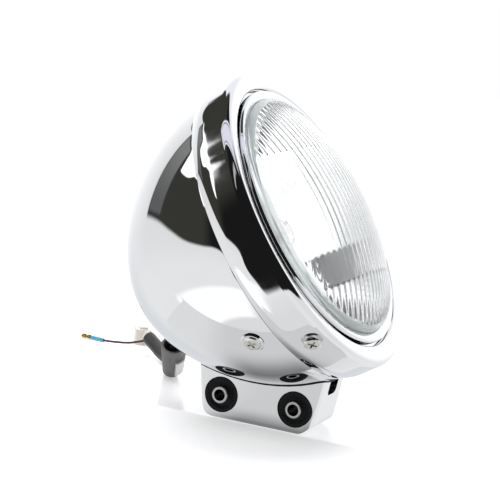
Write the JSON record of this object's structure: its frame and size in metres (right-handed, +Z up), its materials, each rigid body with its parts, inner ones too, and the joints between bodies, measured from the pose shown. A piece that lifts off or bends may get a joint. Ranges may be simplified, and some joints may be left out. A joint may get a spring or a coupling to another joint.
{
  "type": "round motorcycle headlight",
  "caption": "Chromed round headlight with a fluted domed lens, deep bowl, rubber-bushed foot bracket for cross bolts, and its wiring tail.",
  "frame": {"origin": "midway between the two mounting collars' axes, on the lamp's centre plane", "axes": "+X forward, the way the lamp faces; +Y to its left, along the mounting bolts; +Z up"},
  "size_m": [0.2558, 0.2422, 0.2096],
  "materials": {
    "chrome": "mirror-bright chromium plate",
    "screw_steel": "bright plated screws",
    "zinc_steel": "bright zinc plate",
    "spring_steel": "plain spring steel",
    "lens_glass": "pressed clear glass",
    "bulb_glass": "clear quartz glass",
    "reflector": "silvered",
    "bulb_metal": "plain",
    "black_rubber": "satin moulded rubber",
    "socket_plastic": "matt nylon",
    "lead_jacket": "satin vinyl",
    "dark_sleeve": "satin vinyl",
    "grey_rubber": "matt rubber",
    "pale_plastic": "satin nylon",
    "brown_jacket": "satin vinyl",
    "blue_sleeve": "glossy clear blue vinyl",
    "brass": "bright",
    "cream_jacket": "satin vinyl",
    "cream_plastic": "satin nylon"
  },
  "bodies": {
    "root": {"rim": "chrome", "trim_ring": "chrome", "lens_glass": "lens_glass", "lens_gasket": "black_rubber", "reflector": "reflector", "carrier_ring": "zinc_steel", "unit_screws": "zinc_steel", "pivot_clip": "zinc_steel", "aim_screws": "screw_steel", "aim_springs": "spring_steel", "aim_nuts": "zinc_steel", "bowl": "chrome", "rim_tabs": "zinc_steel", "tab_nuts": "zinc_steel", "rim_screws": "screw_steel", "trim_washers": "chrome", "bulb_base": "bulb_metal", "bulb_glass": "bulb_glass", "bulb_shield": "bulb_metal", "bulb_filaments": "bulb_metal", "bulb_clip": "spring_steel", "bulb_boot": "black_rubber", "bulb_socket": "socket_plastic", "inner_leads": "lead_jacket", "grommet": "black_rubber", "backing_plate": "zinc_steel", "bracket_bolts": "zinc_steel", "bracket_washers": "zinc_steel", "bracket_pad": "black_rubber", "bracket": "chrome", "bushing_front_left": "black_rubber", "bushing_front_right": "black_rubber", "bushing_rear_left": "black_rubber", "bushing_rear_right": "black_rubber", "collar_front": "zinc_steel", "collar_rear": "zinc_steel", "wiring_sleeve": "dark_sleeve", "boot_lead": "lead_jacket", "wiring_boot": "grey_rubber", "boot_clip": "pale_plastic", "brown_wire": "brown_jacket", "terminal_sleeve": "blue_sleeve", "bullet_terminal": "brass", "connector_lead": "cream_jacket", "cream_connector": "cream_plastic"}
  },
  "joints": []
}
